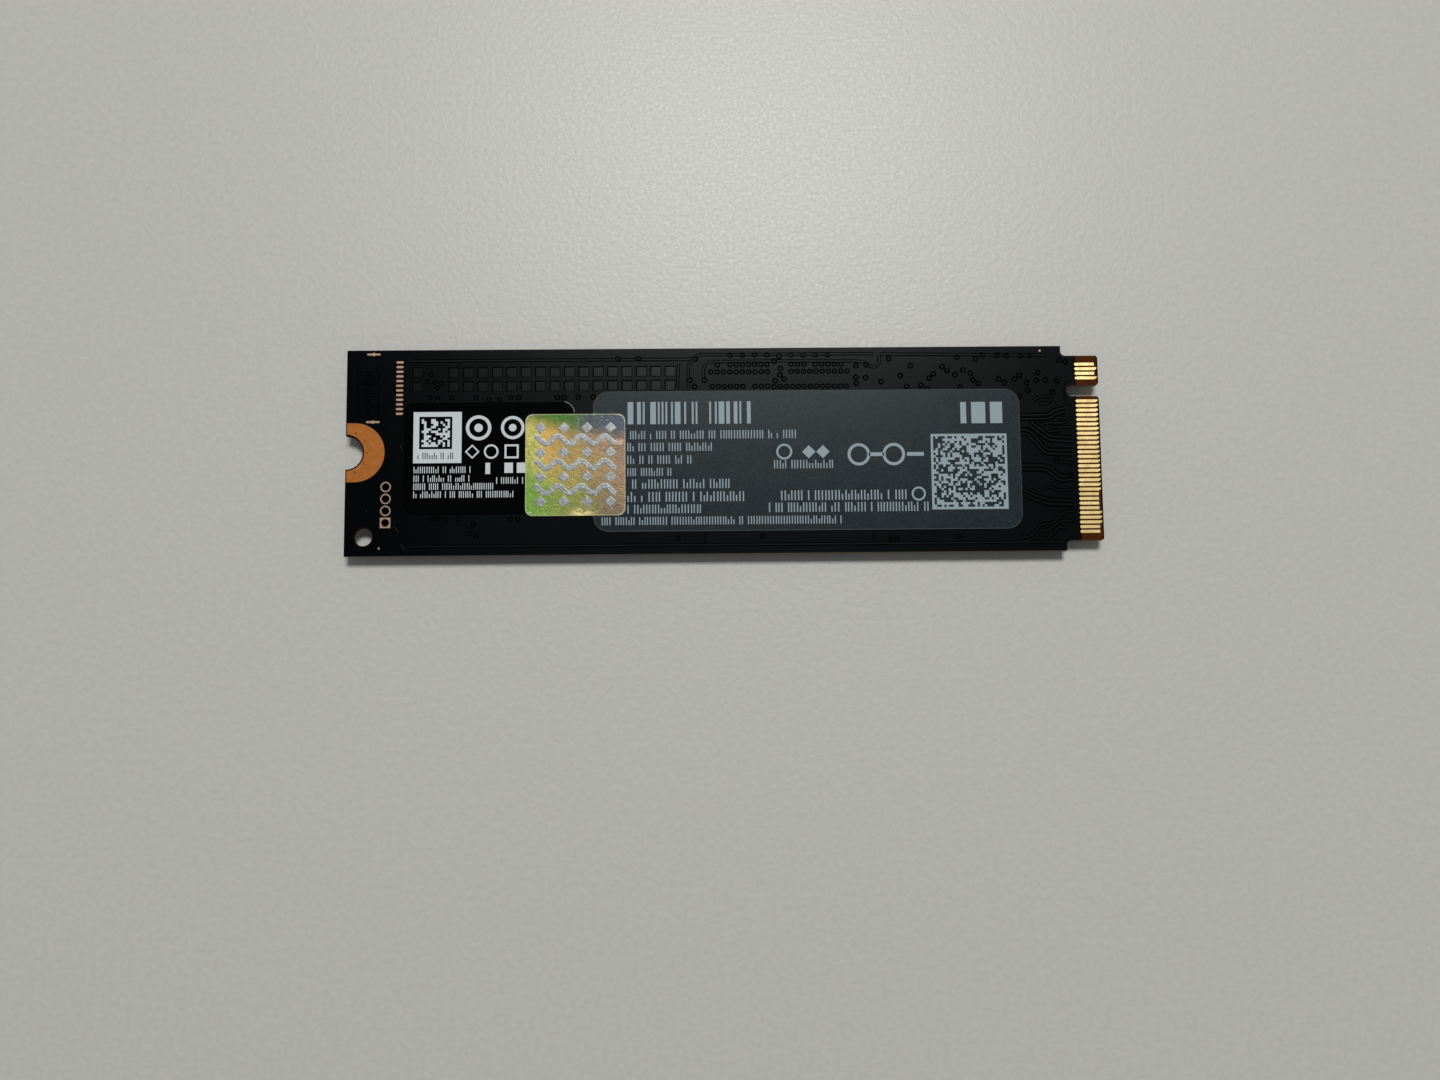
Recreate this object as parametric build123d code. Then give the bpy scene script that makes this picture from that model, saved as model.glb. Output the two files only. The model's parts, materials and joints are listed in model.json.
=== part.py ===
"""Single-sided M.2 2280 solid-state drive with a key-M edge connector, lying label side up.

X runs from the screw notch to the edge connector, Y across the board and Z up.
The origin lies under the middle of the board, level with the faces of the tallest chips.
"""
import os

from build123d import *

# Board outline, over the solder mask, in millimetres
board_length = 80.0
board_width = 22.0
board_thickness = 0.8
mask_thickness = 0.04
mask_clearance = 0.06

# Edge connector tongue
tongue_length = 4.0
tongue_step = 1.075
shoulder_fillet = 0.5
tip_fillet = 0.3
bevel_run = 0.2
bevel_drop = 0.15

# Key slot that parts the contacts in two groups
key_offset = 6.125
key_width = 1.2
key_depth = 3.5
key_chamfer = 0.25

# Gold contact fingers, measured inwards from the tip
finger_pitch = 0.5
finger_width = 0.31
finger_inner_end = 2.55
finger_outer_end = 0.45
finger_corner = 0.12
finger_margin = 0.6
finger_key_gap = 0.2
untailed_pins = (2, 4, 12, 14, 16, 18, 70, 74)

# Half-round screw notch and the bare copper pad round it
notch_radius = 1.8
mount_pad_radius = 3.15
mount_pad_centre = 0.95
mount_pad_pullback = 0.12
mount_pad_gap = 0.16

# Tooling hole, from the notch end and from the -Y edge
tooling_diameter = 1.95
tooling_x = 1.95
tooling_inset = 2.05
tooling_mask_gap = 0.08

# Four-way header of plated holes, from the notch end and from the -Y edge
header_x = 4.27
header_inset = 3.51
header_pitch = 1.27
header_count = 4
header_bore = 0.84
header_wall = 0.05
header_pad = 1.1

# Row of bare test pads, from the notch end and from the +Y edge
test_pad_x = 5.6
test_pad_inset = 1.31
test_pad_pitch = 0.504
test_pad_count = 12
test_pad_length = 0.76
test_pad_width = 0.24

# Bare link pads and tiny bare spots
link_pad_x = 2.81
link_pad_inset = 0.43
link_pad_rise = 0.12
link_pad_length = 1.43
link_pad_width = 0.21
link_pad_middle = 0.38
spot_diameter = 0.25
spot_x = 3.65
spot_inset = 0.8
far_spot_from_tip = 6.2
far_spot_inset = 0.5

# Labels and foil sticker on the board's upper face
label_thickness = 0.1
black_label_x = 6.1
black_label_length = 18.0
black_label_width = 11.95
black_label_y = -0.68
black_label_corner = 1.25
label_gap = 2.0
grey_label_margin = 4.6
grey_label_width = 15.0
grey_label_y = -1.15
grey_label_corner = 1.6
sticker_thickness = 0.06
sticker_length = 10.55
sticker_width = 10.87
sticker_y = -1.48
sticker_corner = 0.75
sticker_lap = 5.15
sticker_sag = 0.02
sticker_slope = 0.6

# Packages under the board: a substrate and a moulded cap
substrate_thickness = 0.3
dimple_diameter = 0.9
dimple_depth = 0.05
dimple_inset = 1.3
flash_length = 11.5
flash_width = 13.5
flash_height = 1.2
memory_length = 10.0
memory_width = 14.5
memory_height = 1.0
controller_length = 12.0
controller_width = 12.0
controller_height = 1.1
first_chip_x = 6.8
shoulder_margin = 0.9

# Leadless chips
land_thickness = 0.05
land_width = 0.25
land_length = 0.4
land_pitch = 0.5
power_chip_size = 4.0
power_chip_height = 0.85
power_chip_land_count = 6
switch_size = 2.0
switch_height = 0.6
switch_land_count = 3

# Clock crystal
crystal_length = 2.5
crystal_width = 2.0
crystal_base_height = 0.4
crystal_lid_height = 0.15
crystal_lid_rim = 0.18
crystal_notch = 0.16

# Power inductors
inductor_length = 2.5
inductor_width = 2.0
inductor_height = 1.2
inductor_chamfer = 0.12
inductor_plate = 0.08
inductor_foot = 0.6
inductor_plate_rise = 0.5
inductor_plate_width = 1.5

# Ceramic capacitors and resistors: length, width, height and metal band
bulk_size = (2.0, 1.25, 0.9)
bulk_band = 0.45
bypass_size = (1.0, 0.5, 0.5)
bypass_band = 0.25
resistor_size = (1.0, 0.5, 0.35)
resistor_band = 0.22
end_proud = 0.02
bypass_row_count = 4
bypass_pitch = 2.4
edge_row_inset = 1.75
edge_row_pitch = 3.0
part_gap = 0.5
row_gap = 0.8

# Places that follow from the sizes above
notch_end = -board_length / 2
tip_end = board_length / 2
shoulder = tip_end - tongue_length
tongue_width = board_width - 2 * tongue_step
board_z = flash_height
laminate_z = board_z + mask_thickness
laminate_thickness = board_thickness - 2 * mask_thickness
laminate_top = laminate_z + laminate_thickness
face_z = board_z + board_thickness
black_label_end = notch_end + black_label_x + black_label_length
grey_label_start = black_label_end + label_gap
grey_label_end = shoulder - grey_label_margin
header_low = -board_width / 2 + header_inset
header_ys = [header_low + n * header_pitch for n in reversed(range(header_count))]
power_zone = 3 * inductor_length + 2 * part_gap
chip_row = [flash_length, flash_length, memory_length, controller_length, power_zone]
chip_room = board_length - tongue_length - first_chip_x - shoulder_margin
chip_gap = (chip_room - sum(chip_row)) / (len(chip_row) - 1)


def chip_centre(n):
    """Middle of the n-th block of the chip row, counted from the notch end."""
    return notch_end + first_chip_x + sum(chip_row[:n]) + n * chip_gap + chip_row[n] / 2


def gap_centre(n):
    """Middle of the gap after the n-th block of the chip row."""
    return chip_centre(n) + chip_row[n] / 2 + chip_gap / 2


def hang(sketch, near, far):
    """A sketch drawn out below the board, from one depth under it to another."""
    return Pos(0, 0, board_z - far) * extrude(sketch, far - near)


def at(x, y, sketch):
    """A sketch moved to a place on the board."""
    return Pos(x, y) * sketch


# Board and its skins


def corners_at(shape, x, gap, y=0.0):
    """Corners of a sketch at X, the same distance above and below a line of constant Y."""
    near = [v for v in shape.vertices() if abs(v.X - x) < 1e-6]
    return [v for v in near if abs(abs(v.Y - y) - gap) < 1e-6]


def outline():
    """Board outline: a rectangle with the tongue, the key slot and the screw notch."""
    body = at((notch_end + shoulder) / 2, 0, Rectangle(shoulder - notch_end, board_width))
    tongue = at((shoulder + tip_end) / 2, 0, Rectangle(tongue_length, tongue_width))
    shape = body + tongue
    shape = fillet(corners_at(shape, shoulder, tongue_width / 2), shoulder_fillet)
    shape = fillet(corners_at(shape, tip_end, tongue_width / 2), tip_fillet)
    slot_length = key_depth - key_width / 2
    shape -= at(tip_end - slot_length / 2, key_offset, Rectangle(slot_length, key_width))
    shape -= at(tip_end - slot_length, key_offset, Circle(key_width / 2))
    shape = chamfer(corners_at(shape, tip_end, key_width / 2, key_offset), key_chamfer)
    return shape - at(notch_end, 0, Circle(notch_radius))


def bevel(z, drop):
    """Wedge that bevels one face of the tongue at the tip."""
    corners = [(tip_end - bevel_run, z), (tip_end, z), (tip_end, z - drop)]
    return extrude(Plane.XZ * make_face(Polyline(*corners, close=True)), board_width, both=True)


def tooling_place(sketch):
    """A sketch moved to the tooling hole."""
    return at(notch_end + tooling_x, -board_width / 2 + tooling_inset, sketch)


def circuit_board():
    """Glass-fibre laminate with the tooling hole and the header holes."""
    shape = outline() - tooling_place(Circle(tooling_diameter / 2))
    for y in header_ys:
        shape -= at(notch_end + header_x, y, Circle(header_bore / 2 + header_wall))
    board = Pos(0, 0, laminate_z) * extrude(shape, laminate_thickness)
    return board - bevel(laminate_top, bevel_drop) - bevel(laminate_z, -bevel_drop)


def notch_field(start, radius):
    """Half disc about the notch with straight sides to the board's end."""
    middle = notch_end + mount_pad_centre
    shape = at(middle, 0, Circle(radius))
    shape += at((start + middle) / 2, 0, Rectangle(middle - start, 2 * radius))
    return shape - at(start - radius, 0, Rectangle(2 * radius, 2 * radius))


def mount_pad_shape():
    """Bare copper round the notch, a little back from the board's end and from the notch."""
    field = notch_field(notch_end + mount_pad_pullback, mount_pad_radius)
    return field - at(notch_end, 0, Circle(notch_radius + mount_pad_gap))


def eased(length, width, corner):
    """Rectangle with its corners cut off."""
    shape = Rectangle(length, width)
    return chamfer(shape.vertices(), corner)


def test_pad_shapes(grow=0.0):
    """Row of small test pads with eased corners."""
    pad = eased(test_pad_length + 2 * grow, test_pad_width + 2 * grow, test_pad_width / 3)
    first = board_width / 2 - test_pad_inset
    return [at(notch_end + test_pad_x, first - n * test_pad_pitch, pad) for n in range(test_pad_count)]


def link_pad_shapes(grow=0.0):
    """Two short bars with a round middle, one by the +Y edge and one by the notch pad."""
    bar = eased(link_pad_length + 2 * grow, link_pad_width + 2 * grow, link_pad_width / 4)
    bar += RegularPolygon(link_pad_middle / 2 + grow, 8)
    ys = (board_width / 2 - link_pad_inset, mount_pad_radius + link_pad_rise)
    return [at(notch_end + link_pad_x, y, bar) for y in ys]


def spot_shapes(grow=0.0):
    """Two tiny bare spots, one by each end of the board."""
    spot = RegularPolygon(spot_diameter / 2 + grow, 8)
    near = at(notch_end + spot_x, -board_width / 2 + spot_inset, spot)
    far = at(tip_end - far_spot_from_tip, board_width / 2 - far_spot_inset, spot)
    return [near, far]


def header_openings():
    """Mask openings round the header pads, the last one square for pin 1."""
    reach = header_pad / 2 + mask_clearance
    around = RegularPolygon(reach, 8, major_radius=False)
    openings = [at(notch_end + header_x, y, around) for y in header_ys[:-1]]
    return openings + [at(notch_end + header_x, header_ys[-1], Rectangle(2 * reach, 2 * reach))]


def solder_mask(z, openings):
    """Thin skin on one face of the laminate, open over the bare copper and short of the fingers."""
    end = tip_end - finger_inner_end - mask_clearance
    shape = outline() - at((end + tip_end) / 2, 0, Rectangle(tip_end - end, board_width))
    shape -= tooling_place(RegularPolygon(tooling_diameter / 2 + tooling_mask_gap, 16, major_radius=False))
    shape -= notch_field(notch_end, mount_pad_radius + mask_clearance)
    for opening in openings + header_openings():
        shape -= opening
    return Pos(0, 0, z) * extrude(shape, mask_thickness)


# Bare copper and gold


def finger_shape(tailed):
    """Contact finger with an eased inner end, and a slanted tail where the plating bar was cut."""
    inner = tip_end - finger_inner_end
    outer = tip_end - finger_outer_end
    tail = tip_end - bevel_run
    half = finger_width / 2
    front = [(tail, 0), (tail, half)] if tailed else [(outer, half)]
    shape = make_face(Polyline((inner, half), (inner, -half), (outer, -half), *front, close=True))
    return chamfer([v for v in shape.vertices() if abs(v.X - inner) < 1e-6], finger_corner)


def pin_places(first_pin, shift):
    """Pin number and Y of each contact of one side, numbered from the -Y end."""
    reach = tongue_width / 2 - finger_margin
    steps = range(-int(board_width / finger_pitch), int(board_width / finger_pitch))
    row = [(n + shift) * finger_pitch for n in steps if abs(n + shift) * finger_pitch <= reach]
    clear = key_width / 2 + finger_width / 2 + finger_key_gap
    return [(first_pin + 2 * n, y) for n, y in enumerate(row) if abs(y - key_offset) > clear]


def fingers(first_pin, shift, z, untailed):
    """All contact fingers of one side of the tongue."""
    tailed = extrude(finger_shape(True), mask_thickness)
    plain = extrude(finger_shape(False), mask_thickness)
    return [Pos(0, y, z) * (plain if pin in untailed else tailed) for pin, y in pin_places(first_pin, shift)]


def copper(shapes):
    """Bare copper pads on the laminate's upper face, level with the mask."""
    return [Pos(0, 0, laminate_top) * extrude(shape, mask_thickness) for shape in shapes]


def round_barrels():
    """Plated header holes: a thin tube flanged on both faces of the laminate."""
    bore = header_bore / 2
    tube = bore + header_wall
    pad = header_pad / 2
    section = [(bore, board_z), (pad, board_z), (pad, laminate_z), (tube, laminate_z)]
    section += [(tube, laminate_top), (pad, laminate_top), (pad, face_z), (bore, face_z)]
    barrel = revolve(Plane.XZ * make_face(Polyline(*section, close=True)), Axis.Z)
    return [Pos(notch_end + header_x, y, 0) * barrel for y in header_ys[:-1]]


def square_barrel():
    """Plated header hole with square pads."""
    place = Pos(notch_end + header_x, header_ys[-1])
    pad = place * Rectangle(header_pad, header_pad)
    barrel = Pos(0, 0, board_z) * extrude(place * Circle(header_bore / 2 + header_wall), board_thickness)
    barrel += Pos(0, 0, board_z) * extrude(pad, mask_thickness)
    barrel += Pos(0, 0, laminate_top) * extrude(pad, mask_thickness)
    return barrel - Pos(0, 0, board_z) * extrude(place * Circle(header_bore / 2), board_thickness)


# Labels


def black_label():
    """Black label near the notch end."""
    shape = RectangleRounded(black_label_length, black_label_width, black_label_corner)
    x = black_label_end - black_label_length / 2
    return Pos(x, black_label_y, face_z) * extrude(shape, label_thickness)


def grey_label():
    """Long grey label that ends short of the shoulder."""
    shape = RectangleRounded(grey_label_end - grey_label_start, grey_label_width, grey_label_corner)
    x = (grey_label_start + grey_label_end) / 2
    return Pos(x, grey_label_y, face_z) * extrude(shape, label_thickness)


def foil_sticker():
    """Foil square that laps both labels and sags between them."""
    low = face_z + label_thickness
    start = black_label_end - sticker_lap
    end = start + sticker_length
    path = [(start, low), (black_label_end, low), (black_label_end + sticker_slope, low - sticker_sag)]
    path += [(grey_label_start - sticker_slope, low - sticker_sag), (grey_label_start, low), (end, low)]
    back = [(x, z + sticker_thickness) for x, z in reversed(path)]
    strip = extrude(Plane.XZ * make_face(Polyline(*path, *back, close=True)), sticker_width, both=True)
    face = RectangleRounded(sticker_length, sticker_width, sticker_corner)
    depth = sticker_sag + sticker_thickness
    square = Pos((start + end) / 2, 0, low - sticker_sag) * extrude(face, depth)
    return Pos(0, sticker_y, 0) * (strip & square)


# Chips under the board


def package(name, x, length, width, height):
    """Soldered package: a substrate, and a moulded cap with a pin-1 dimple."""
    body = at(x, 0, Rectangle(length, width))
    dimple = RegularPolygon(dimple_diameter / 2, 12)
    corner = at(x - length / 2 + dimple_inset, width / 2 - dimple_inset, dimple)
    cap = hang(body, substrate_thickness, height) - hang(corner, height - dimple_depth, height)
    return {name + "_substrate": hang(body, 0, substrate_thickness), name + "_cap": cap}


def leadless_chip(name, x, y, size, height, lands):
    """Leadless chip: edge lands and a middle land under a moulded body with its pin-1 corner cut."""
    body = at(x, y, Rectangle(size, size))
    cap = hang(body, land_thickness, height)
    mark = chamfer(cap.edges().filter_by(Axis.Z).sort_by(Axis.X)[:2].sort_by(Axis.Y)[-1:], size / 12)
    side = [(n - (lands - 1) / 2) * land_pitch for n in range(lands)]
    reach = (size - land_length) / 2
    places = [at(sign * reach, s, Rectangle(land_length, land_width)) for sign in (-1, 1) for s in side]
    places += [at(s, sign * reach, Rectangle(land_width, land_length)) for sign in (-1, 1) for s in side]
    middle = size - 2 * land_length - 2 * land_width
    places.append(Rectangle(middle, middle))
    feet = [hang(at(x, y, place), 0, land_thickness) for place in places]
    return {name + "_body": mark, name + "_lands": feet}


def crystal(x, y):
    """Clock crystal: ceramic base with notched corners under a rounded metal lid."""
    base = Rectangle(crystal_length, crystal_width)
    for corner in base.vertices():
        base -= at(corner.X, corner.Y, Rectangle(2 * crystal_notch, 2 * crystal_notch))
    lid_length = crystal_length - 2 * crystal_lid_rim
    lid = eased(lid_length, crystal_width - 2 * crystal_lid_rim, crystal_notch)
    top = crystal_base_height + crystal_lid_height
    lid_part = hang(at(x, y, lid), crystal_base_height, top)
    return {"crystal_base": hang(at(x, y, base), 0, crystal_base_height), "crystal_lid": lid_part}


def inductor(x, y):
    """Moulded inductor with chamfered edges, on two end plates bent from foot to wall."""
    inner = inductor_length - 2 * inductor_plate
    core = Box(inner, inductor_width, inductor_height - inductor_plate)
    upright = core.edges().filter_by(Axis.Z)
    core = chamfer(upright + core.faces().sort_by(Axis.Z)[0].edges(), inductor_chamfer)
    body = Pos(x, y, board_z - (inductor_height + inductor_plate) / 2) * core
    half = inductor_length / 2
    rise = inductor_plate + inductor_plate_rise
    bent = [(half, 0), (half, -rise), (inner / 2, -rise), (inner / 2, -inductor_plate)]
    bent += [(half - inductor_foot, -inductor_plate), (half - inductor_foot, 0)]
    plate = extrude(Plane.XZ * make_face(Polyline(*bent, close=True)), inductor_plate_width / 2, both=True)
    plates = [Pos(x, y, board_z) * Rot(0, 0, turn) * plate for turn in (0, 180)]
    return body, plates


def two_ended(places, size, band):
    """Capacitors or resistors at (x, y, turn): bodies, and metal ends slightly proud of them."""
    length, width, height = size
    body = hang(Rectangle(length - 2 * band, width - 2 * end_proud), end_proud, height - end_proud)
    end = hang(at((length - band) / 2, 0, Rectangle(band, width)), 0, height)
    bodies = [Pos(x, y) * Rot(0, 0, turn) * body for x, y, turn in places]
    ends = [Pos(x, y) * Rot(0, 0, turn + half) * end for x, y, turn in places for half in (0, 180)]
    return bodies, ends


def row_of(x, y, count, pitch, turn):
    """Places of a row along X, centred on x."""
    return [(x + (n - (count - 1) / 2) * pitch, y, turn) for n in range(count)]


def column_of(x, y, count, pitch, turn):
    """Places of a column along Y, centred on y."""
    return [(x, y + (n - (count - 1) / 2) * pitch, turn) for n in range(count)]


def power_rows():
    """Y of the rows of the power section, stacked down from the +Y edge."""
    heights = [inductor_width, power_chip_size, bulk_size[1], max(crystal_width, switch_size)]
    heights += [bulk_size[1], inductor_width]
    top = board_width / 2 - edge_row_inset
    rows = []
    for height in heights:
        rows.append(top - height / 2)
        top -= height + row_gap
    return rows


def underside():
    """Everything soldered to the chip side, by node name."""
    flash = (flash_length, flash_width, flash_height)
    memory = (memory_length, memory_width, memory_height)
    controller = (controller_length, controller_width, controller_height)
    power_chip = (power_chip_size, power_chip_height, power_chip_land_count)
    switch = (switch_size, switch_height, switch_land_count)
    zone = chip_centre(4)
    rows = power_rows()
    nodes = {}
    nodes.update(package("flash_a", chip_centre(0), *flash))
    nodes.update(package("flash_b", chip_centre(1), *flash))
    nodes.update(package("memory", chip_centre(2), *memory))
    nodes.update(package("controller", chip_centre(3), *controller))
    nodes.update(leadless_chip("power_chip", zone, rows[1], *power_chip))
    nodes.update(leadless_chip("load_switch", zone + (part_gap + switch_size) / 2, rows[3], *switch))
    nodes.update(crystal(zone - (part_gap + crystal_length) / 2, rows[3]))
    coils = [(zone + n * (inductor_length + part_gap), rows[0]) for n in (-1, 0, 1)] + [(zone, rows[5])]
    plates = []
    for n, (x, y) in enumerate(coils):
        body, pair = inductor(x, y)
        nodes["inductor_%d" % (n + 1)] = body
        plates += pair
    nodes["inductor_plates"] = plates
    nodes.update(passives(zone, rows))
    return nodes


def passives(zone, rows):
    """Bulk capacitors, bypass capacitors and resistors between and beside the chips."""
    edge = board_width / 2 - edge_row_inset
    bulk_pitch = bulk_size[0] + part_gap
    bulk = row_of(zone, rows[2], 3, bulk_pitch, 0) + row_of(zone, rows[4], 3, bulk_pitch, 0)
    bypass = []
    resistors = []
    for n in (0, 1):
        bulk += row_of(chip_centre(n), edge, 3, edge_row_pitch, 0)
        resistors += row_of(chip_centre(n), -edge, 2, edge_row_pitch, 0)
    for n in (2, 3):
        bypass += row_of(chip_centre(n), edge, 2, edge_row_pitch, 0)
        bypass += row_of(chip_centre(n), -edge, 2, edge_row_pitch, 0)
    for n in range(4):
        near = column_of(gap_centre(n) - chip_gap / 5, 0, bypass_row_count, bypass_pitch, 90)
        far = column_of(gap_centre(n) + chip_gap / 5, 0, bypass_row_count, bypass_pitch, 90)
        bypass += near
        if n == 3:
            resistors += far
        else:
            bypass += far
    beside_chip = power_chip_size / 2 + part_gap + bypass_size[1] / 2
    beside_coil = inductor_length / 2 + part_gap + resistor_size[1] / 2
    for sign in (-1, 1):
        bypass += column_of(zone + sign * beside_chip, rows[1], 2, bypass_pitch, 90)
        resistors += column_of(zone + sign * beside_coil, rows[5], 2, resistor_size[0] + part_gap / 2, 90)
    groups = [
        ("bulk_capacitor", bulk, bulk_size, bulk_band),
        ("bypass_capacitor", bypass, bypass_size, bypass_band),
        ("resistor", resistors, resistor_size, resistor_band),
    ]
    nodes = {}
    for name, places, size, band in groups:
        nodes[name + "_bodies"], nodes[name + "_ends"] = two_ended(places, size, band)
    return nodes


def build():
    """Every node of the drive, by name."""
    bare = test_pad_shapes(mask_clearance) + link_pad_shapes(mask_clearance) + spot_shapes(mask_clearance)
    nodes = {
        "circuit_board": circuit_board(),
        "mask_label_side": solder_mask(laminate_top, bare),
        "mask_chip_side": solder_mask(board_z, []),
        "fingers_label_side": fingers(2, 0, laminate_top, untailed_pins),
        "fingers_chip_side": fingers(1, 0.5, board_z, ()),
        "mount_pad_label_side": copper([mount_pad_shape()]),
        "mount_pad_chip_side": Pos(0, 0, board_z) * extrude(mount_pad_shape(), mask_thickness),
        "test_pads": copper(test_pad_shapes()),
        "link_pads": copper(link_pad_shapes()),
        "bare_spots": copper(spot_shapes()),
        "header_barrels": round_barrels(),
        "header_barrel_square": square_barrel(),
        "black_label": black_label(),
        "grey_label": grey_label(),
        "foil_sticker": foil_sticker(),
    }
    nodes.update(underside())
    return nodes


def solids_of(shape):
    """The separate solids of a node, whether it is one shape or a group."""
    shapes = shape if isinstance(shape, list) else [shape]
    return [solid for item in shapes for solid in item.solids()]


def main():
    """Write one STEP file for each node."""
    os.makedirs("parts", exist_ok=True)
    for name, shape in build().items():
        solids = solids_of(shape)
        export_step(solids[0] if len(solids) == 1 else Compound(solids), "parts/%s.step" % name)


main()
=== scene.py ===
# %% [markdown]
# # A storage drive lying on its chip side
# The object is a bare circuit board, 80 mm long and 22 mm wide, with gold contacts at one end,
# a screw notch at the other, two labels and a foil sticker on top, and its chips underneath.
# The packed CAD model already holds every solid piece at its real place. This lesson dresses it:
# it gives each piece a finish, and adds what is too thin or too fine for the CAD model, such as
# copper that shows through the lacquer, ink and solder. Everything is in metres.

# %% Load the packed model
import json

import bpy
import numpy as np
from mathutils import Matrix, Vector


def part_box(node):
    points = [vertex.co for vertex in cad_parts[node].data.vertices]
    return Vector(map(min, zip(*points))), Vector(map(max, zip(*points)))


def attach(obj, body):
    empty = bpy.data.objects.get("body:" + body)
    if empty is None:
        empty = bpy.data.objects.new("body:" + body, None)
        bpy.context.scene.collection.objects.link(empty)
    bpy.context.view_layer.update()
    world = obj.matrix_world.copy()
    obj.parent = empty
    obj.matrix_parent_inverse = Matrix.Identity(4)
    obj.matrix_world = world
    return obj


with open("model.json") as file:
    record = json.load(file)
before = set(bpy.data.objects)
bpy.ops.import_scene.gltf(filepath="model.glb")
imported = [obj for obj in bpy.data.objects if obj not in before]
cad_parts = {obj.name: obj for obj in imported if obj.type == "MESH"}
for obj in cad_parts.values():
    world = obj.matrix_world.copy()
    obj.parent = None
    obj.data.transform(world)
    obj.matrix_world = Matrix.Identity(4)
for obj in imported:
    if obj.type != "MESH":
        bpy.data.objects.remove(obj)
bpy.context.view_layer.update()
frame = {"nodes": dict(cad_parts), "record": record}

# %% [markdown]
# ## Places on the board
# A board designer gives every place in millimetres from an edge of the board. We do the same: X from
# the notch end and Y from the centreline. The heights of the faces could be typed in too, but they are
# read from the CAD pieces, so that whatever we add sits on them exactly.

# %% Heights and the board's own axes
mm = 0.001
board_low, board_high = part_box("circuit_board")
lacquer_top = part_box("mask_label_side")[1].z
lacquer_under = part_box("mask_chip_side")[0].z
black_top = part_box("black_label")[1].z
grey_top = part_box("grey_label")[1].z
foil_low, foil_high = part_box("foil_sticker")
origin = np.array([board_low.x, (board_low.y + board_high.y) / 2, 0.0])
print("upper face", lacquer_top / mm, "lower face", lacquer_under / mm, "labels", black_top / mm)

# %% [markdown]
# ## Two ways to make a mesh
# Nearly everything here is one small shape repeated: an ink bar, a solder fillet, a plated hole. One
# could add a primitive for each, but hundreds of objects are slow and hard to keep in order. Instead
# a shape is a stack of outlines, and numpy sets it down at all its spots in one sum. A copper track
# is a profile carried along a path. Both end in the same function, which makes one mesh.

# %% One mesh from blocks of corners and faces
def add_piece(name, blocks, material):
    """One mesh from (corners, faces) blocks: face numbers move on past the corners of earlier blocks."""
    corners = [np.reshape(points, (-1, 3)) for points, _ in blocks]
    starts = np.cumsum([0] + [len(points) for points in corners])
    faces = []
    for start, (_, groups) in zip(starts, blocks):
        for group in groups:
            faces += (group + start).tolist()
    mesh = bpy.data.meshes.new(name)
    mesh.from_pydata(np.concatenate(corners).tolist(), [], faces)
    mesh.materials.append(material)
    piece = bpy.data.objects.new(name, mesh)
    bpy.context.scene.collection.objects.link(piece)
    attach(piece, "root")
    print(name, len(faces), "faces")


print("new pieces go into", bpy.context.scene.collection.name)

# %% Outlines and stacks of them
square = np.array([[-0.5, -0.5], [0.5, -0.5], [0.5, 0.5], [-0.5, 0.5]])


def polygon(count):
    """Corners of a regular polygon one unit across: half a unit along equal steps of the turn."""
    turn = 2 * np.pi * np.arange(count) / count
    return 0.5 * np.stack([np.cos(turn), np.sin(turn)], 1)


def stack(outline, *levels):
    """Outlines one above the other: for each (size, height) level, the outline times its size."""
    return np.stack([np.c_[outline * size, np.full(len(outline), height * mm)] for size, height in levels])


print("outlines", square.shape, polygon(12).shape)

# %% A stack set down at many spots
def stamp(shape, rows, level, side=1, rise=None):
    """A stack of outlines set down at each row of X, Y, length, width and turn, in millimetres and degrees.

    Corner = place + turned (length, width) times the outline. Height = level + side times the stack's
    height, plus what the surface below rises there. Walls join one outline to the next, and a face
    closes the last one. On the under side the outline runs the other way, so that faces point out.
    """
    shape = shape if side > 0 else shape[:, ::-1]
    rows = np.asarray(rows, float)
    x, y, length, width, turn = rows.T[:, :, None, None]
    turn = np.radians(turn)
    along, across = shape[None, :, :, 0] * length, shape[None, :, :, 1] * width
    points = np.stack([
        origin[0] + mm * (x + along * np.cos(turn) - across * np.sin(turn)),
        origin[1] + mm * (y + along * np.sin(turn) + across * np.cos(turn)),
        level + side * np.broadcast_to(shape[None, :, :, 2], along.shape),
    ], -1)
    if rise is not None:
        points[..., 2] += rise(points[..., 0])
    rings, count = shape.shape[:2]
    first = np.arange(len(rows))[:, None, None] * rings * count
    ring = first + np.arange(rings - 1)[None, :, None] * count
    corner = np.arange(count)[None, None, :]
    after = (corner + 1) % count
    walls = np.stack([ring + corner, ring + after, ring + count + after, ring + count + corner], -1)
    caps = first[:, 0] + (rings - 1) * count + np.arange(count)
    return points, [walls.reshape(-1, 4), caps]


def spots(places, length, width=None, turn=0.0):
    """Places with a length, a width and a turn, ready to stamp: as wide as long if no width is given."""
    places = np.asarray(places, float)
    size = np.array([length, length if width is None else width, turn])
    return np.c_[places, np.broadcast_to(size, (len(places), 3))]


print("one spot", spots([(0, 0)], 1.0)[0])

# %% A profile carried along a path
corner_reaches = (0.3, 0.1)
profile_across = np.array([0.5, 0.28, -0.28, -0.5])
profile_height = np.array([0.0, 1.0, 1.0, 0.0])


def rounded(path):
    """A path with softer corners: two points replace each one, a reach or a quarter of the run from it."""
    path = np.asarray(path, float)
    for reach in corner_reaches:
        run = np.diff(path, axis=0)
        share = np.minimum(0.25, reach / np.linalg.norm(run, axis=1, keepdims=True))
        cuts = np.stack([path[:-1] + share * run, path[1:] - share * run], 1)
        path = np.concatenate([path[:1], cuts.reshape(-1, 2)[1:-1], path[-1:]])
    return path


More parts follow.
